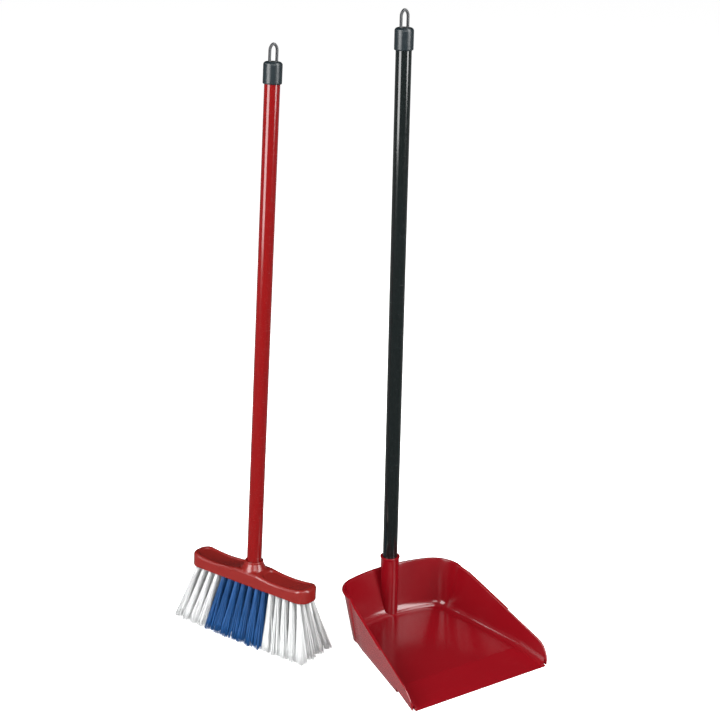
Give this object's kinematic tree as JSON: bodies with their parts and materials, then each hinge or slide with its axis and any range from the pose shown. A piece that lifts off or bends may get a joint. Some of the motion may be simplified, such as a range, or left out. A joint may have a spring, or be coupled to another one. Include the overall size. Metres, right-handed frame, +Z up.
{
  "type": "dustpan and broom set",
  "caption": "Long-handled dustpan on an upright tube with a small tufted broom on a matching tube, both with capped ends and hanging loops.",
  "frame": {"origin": "middle of the set's footprint, on the floor", "axes": "+Z up, the dustpan's open front faces -Y, the broom stands at -X"},
  "size_m": [0.33, 0.3585, 0.749],
  "materials": {
    "tray_red": "glossy moulded plastic",
    "head_red": "satin moulded plastic",
    "tube_red": "smooth plastic-coated tube",
    "tube_dark": "smooth plastic-coated tube",
    "cap_grey": "satin moulded plastic",
    "loop_black": "satin moulded plastic",
    "bristle_white": "drawn bristle",
    "bristle_blue": "drawn bristle",
    "anchor_steel": "flattened wire"
  },
  "bodies": {
    "dustpan": {"pan_tray": "tray_red"},
    "dustpan_handle": {"pan_handle_tube": "tube_dark", "pan_end_cap": "cap_grey"},
    "dustpan_loop": {"pan_hang_loop": "loop_black"},
    "broom": {"broom_head": "head_red", "tufts_row1_far_white": "bristle_white", "tufts_row1_blue": "bristle_blue", "tufts_row1_near_white": "bristle_white", "tufts_row2_far_white": "bristle_white", "tufts_row2_blue": "bristle_blue", "tufts_row2_near_white": "bristle_white", "tufts_row3_far_white": "bristle_white", "tufts_row3_blue": "bristle_blue", "tufts_row3_near_white": "bristle_white", "tufts_row4_far_white": "bristle_white", "tufts_row4_blue": "bristle_blue", "tufts_row4_near_white": "bristle_white", "tuft_anchors": "anchor_steel"},
    "broom_handle": {"broom_handle_tube": "tube_red", "broom_end_cap": "cap_grey"},
    "broom_loop": {"broom_hang_loop": "loop_black"}
  },
  "joints": [
    {"name": "dustpan_handle_pull", "type": "slide", "parent": "dustpan", "child": "dustpan_handle", "axis": [0, 0, 1], "range_m": [0, 0.07]},
    {"name": "dustpan_loop_swivel", "type": "hinge", "parent": "dustpan_handle", "child": "dustpan_loop", "pos_m": [0.06534, 0.01643, 0.7035], "axis": [0, 0, 1], "continuous": true},
    {"name": "broom_lift", "type": "slide", "parent": "dustpan", "child": "broom", "axis": [0, 0, 1], "range_m": [0, 0.3]},
    {"name": "broom_handle_pull", "type": "slide", "parent": "broom", "child": "broom_handle", "axis": [0.059, 0.0235, 0.998], "range_m": [0, 0.011]},
    {"name": "broom_loop_swivel", "type": "hinge", "parent": "broom_handle", "child": "broom_loop", "pos_m": [-0.05973, 0.08899, 0.66479], "axis": [0.059, 0.0235, 0.998], "continuous": true}
  ]
}
